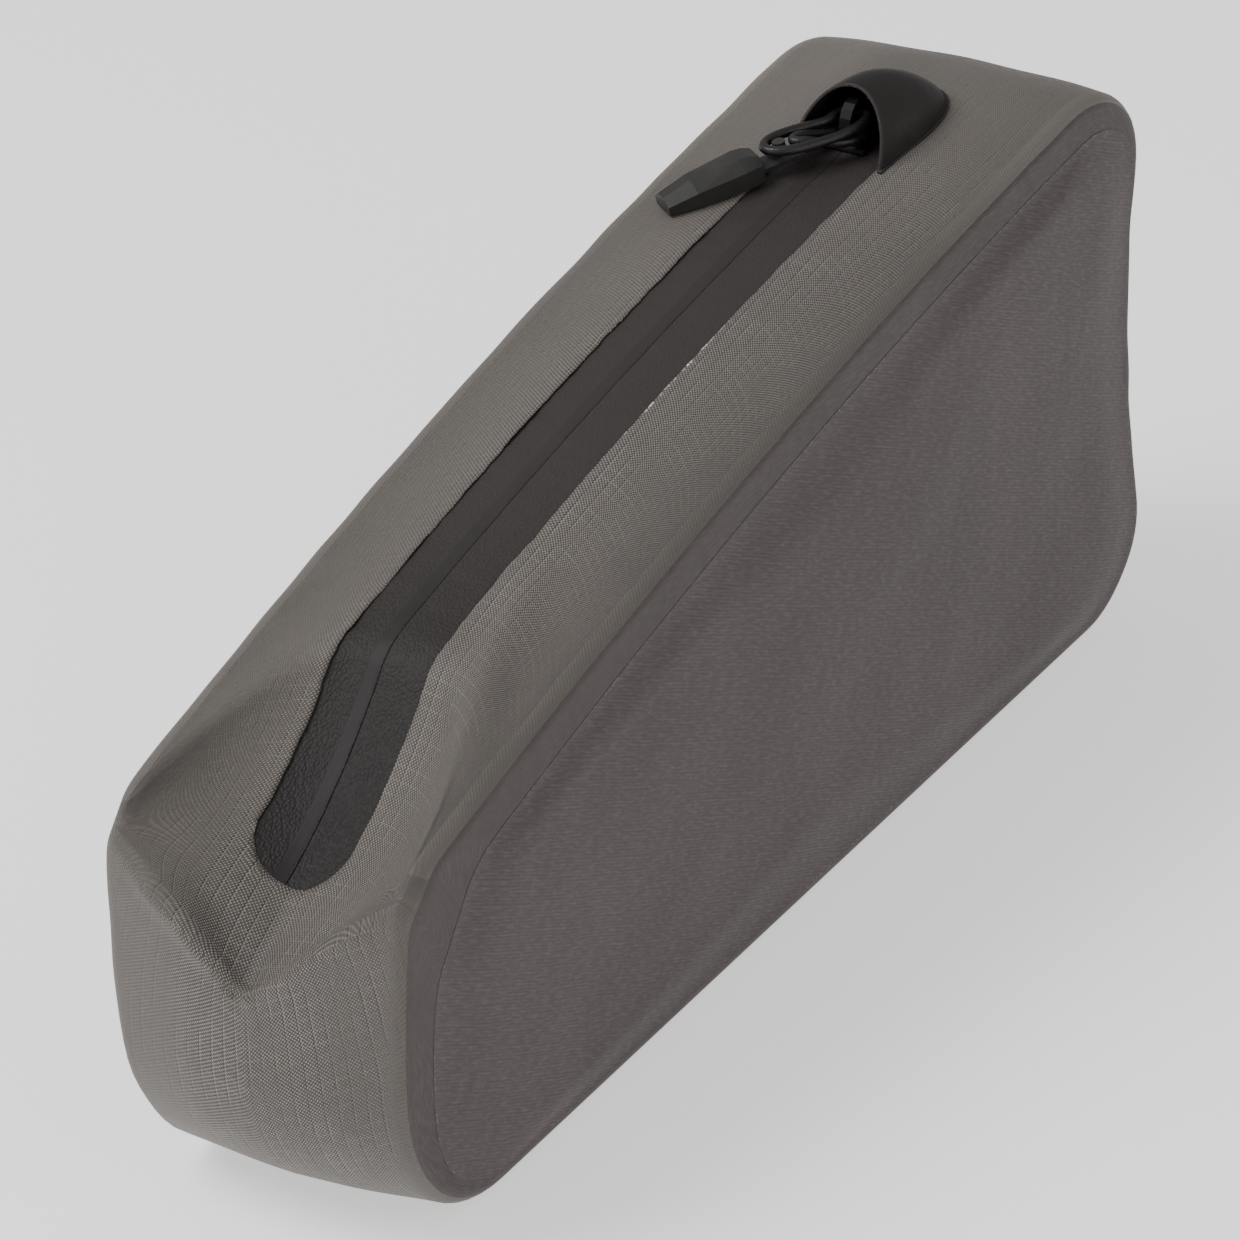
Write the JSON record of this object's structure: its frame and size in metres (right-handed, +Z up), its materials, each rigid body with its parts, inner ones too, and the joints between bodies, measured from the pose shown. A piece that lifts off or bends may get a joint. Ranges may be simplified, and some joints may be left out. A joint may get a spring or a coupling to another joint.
{
  "type": "top tube bag",
  "caption": "Wedge-shaped top tube bag in welded ripstop cloth, with flat side panels, a top zip, a rubber zip hood and a cord pull.",
  "frame": {"origin": "the point on the floor under the middle of the bag's length and width", "axes": "+X along the bag from its low tail to its tall front end, +Y to the left of that, +Z up"},
  "size_m": [0.2466, 0.0592, 0.1144],
  "materials": {
    "gusset_cloth": "olive grey coated ripstop cloth, matt",
    "panel_cloth": "grey coated cloth, matt",
    "zip_film": "black film-coated zip tape, slight sheen",
    "hood_rubber": "black rubbery film, satin",
    "cord_black": "black cord, slight sheen",
    "tab_moulding": "dark grey moulding, matt",
    "slider_black": "black paint, satin"
  },
  "bodies": {
    "root": {"gusset_shell": "gusset_cloth", "side_panel_near": "panel_cloth", "side_panel_far": "panel_cloth", "zip_tape_near": "zip_film", "zip_tape_far": "zip_film", "zip_slider": "slider_black", "zip_garage_hood": "hood_rubber", "pull_cord_outer": "cord_black", "pull_cord_inner": "cord_black", "pull_tab": "tab_moulding", "base_patch": "hood_rubber"}
  },
  "joints": []
}
